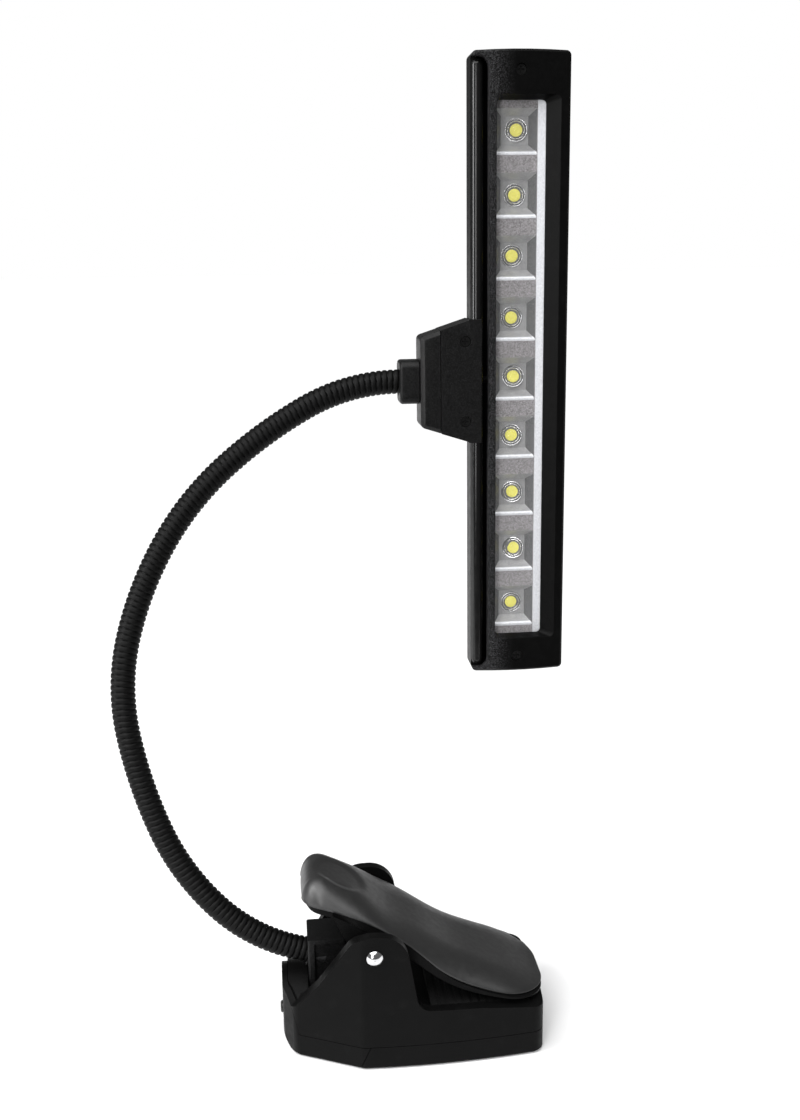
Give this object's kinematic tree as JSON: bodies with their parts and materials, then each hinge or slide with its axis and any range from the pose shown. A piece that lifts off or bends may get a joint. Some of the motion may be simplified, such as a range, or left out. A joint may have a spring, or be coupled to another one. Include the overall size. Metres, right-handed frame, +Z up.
{
  "type": "clip-on reading lamp",
  "caption": "Battery reading lamp: long LED bar head on a ribbed gooseneck, standing on or clamped by a spring clip base.",
  "frame": {"origin": "middle of the clip's foot, on its flat underside", "axes": "+X along the clip towards the mouth of the jaws, -Y out of the lamp's face, +Z up"},
  "size_m": [0.1733, 0.084, 0.3568],
  "materials": {
    "base_plastic": "fine-grained matt black",
    "lever_satin": "satin black",
    "fitting_plastic": "grained matt black",
    "pad_rubber": "matt",
    "neck_metal": "matt black, ribbed",
    "lead_jacket": "matt",
    "head_plastic": "grained matt black",
    "spring_steel": "plain",
    "pin_chrome": "polished",
    "contact_metal": "plated",
    "cell_metal": "printed can, plain",
    "board": "solder-mask green",
    "jack_plastic": "moulded",
    "screw_black": "blackened steel",
    "reflector_silver": "vacuum-metallised",
    "clear_lens": "clear",
    "led_dome": "clear epoxy",
    "led_phosphor": "yellow phosphor, unlit"
  },
  "bodies": {
    "base": {"base_housing": "base_plastic", "rear_bottom_cover": "base_plastic", "neck_socket": "fitting_plastic", "neck_ferrule": "spring_steel", "lower_jaw_pad": "pad_rubber", "pivot_pin": "pin_chrome", "torsion_spring": "spring_steel", "aa_cells": "cell_metal", "contact_plates": "contact_metal", "control_board": "board", "dc_jack": "jack_plastic", "switch_body": "jack_plastic", "cover_screws": "screw_black", "neck_coil_1": "neck_metal", "neck_lead_1": "lead_jacket"},
    "battery_door": {"battery_door": "base_plastic"},
    "switch_button": {"switch_button": "base_plastic"},
    "clip_lever": {"lever_cover": "lever_satin", "lever_frame": "base_plastic", "upper_jaw_pad": "pad_rubber"},
    "neck_2": {"neck_coil_2": "neck_metal", "neck_lead_2": "lead_jacket"},
    "neck_3": {"neck_coil_3": "neck_metal", "neck_lead_3": "lead_jacket"},
    "neck_4": {"neck_coil_4": "neck_metal", "neck_lead_4": "lead_jacket"},
    "neck_5": {"neck_coil_5": "neck_metal", "neck_lead_5": "lead_jacket"},
    "neck_6": {"neck_coil_6": "neck_metal", "neck_lead_6": "lead_jacket"},
    "neck_7": {"neck_coil_7": "neck_metal", "neck_lead_7": "lead_jacket"},
    "head": {"neck_coil_8": "neck_metal", "neck_lead_8": "lead_jacket", "neck_collar": "fitting_plastic", "bracket_nose": "fitting_plastic", "bracket_front": "fitting_plastic", "bracket_back": "fitting_plastic", "bracket_screws": "screw_black", "head_back_shell": "head_plastic", "front_bezel": "head_plastic", "reflector_tray": "reflector_silver", "window_lens": "clear_lens", "led_board": "board", "led_domes": "led_dome", "led_chips": "led_phosphor", "head_screws": "screw_black", "head_lead": "lead_jacket"}
  },
  "joints": [
    {"name": "battery_door_slide", "type": "slide", "parent": "base", "child": "battery_door", "axis": [1, 0, 0], "range_m": [0, 0.06]},
    {"name": "switch_press", "type": "slide", "parent": "base", "child": "switch_button", "axis": [1, 0, 0], "range_m": [0, 0.0008], "stiffness_N_per_m": 1500},
    {"name": "clip_pivot", "type": "hinge", "parent": "base", "child": "clip_lever", "pos_m": [-0.0134, 0, 0.045], "axis": [0, -1, 0], "range_deg": [0, 22], "stiffness_Nm_per_rad": 1.6, "springref_deg": -20.05},
    {"name": "neck_bend_1", "type": "hinge", "parent": "base", "child": "neck_2", "pos_m": [-0.06923, 0.00381, 0.05124], "axis": [0, -0.9767, 0.2147], "range_deg": [-10, 22]},
    {"name": "neck_bend_2", "type": "hinge", "parent": "neck_2", "child": "neck_3", "pos_m": [-0.08936, 0.01035, 0.08099], "axis": [-0.9259, -0.0811, -0.369], "range_deg": [-15, 15]},
    {"name": "neck_bend_3", "type": "hinge", "parent": "neck_3", "child": "neck_4", "pos_m": [-0.09959, 0.01792, 0.1154], "axis": [0, -0.9767, 0.2147], "range_deg": [-10, 22]},
    {"name": "neck_bend_4", "type": "hinge", "parent": "neck_4", "child": "neck_5", "pos_m": [-0.09813, 0.02574, 0.15098], "axis": [-0.9668, 0.0548, 0.2494], "range_deg": [-15, 15]},
    {"name": "neck_bend_5", "type": "hinge", "parent": "neck_5", "child": "neck_6", "pos_m": [-0.08394, 0.03299, 0.18396], "axis": [0, -0.9767, 0.2147], "range_deg": [-10, 22]},
    {"name": "neck_bend_6", "type": "hinge", "parent": "neck_6", "child": "neck_7", "pos_m": [-0.06039, 0.03901, 0.21131], "axis": [-0.6521, 0.1628, 0.7404], "range_deg": [-15, 15]},
    {"name": "neck_bend_7", "type": "hinge", "parent": "neck_7", "child": "head", "pos_m": [-0.03023, 0.04349, 0.23171], "axis": [0, -0.9767, 0.2147], "range_deg": [-12, 22]}
  ]
}
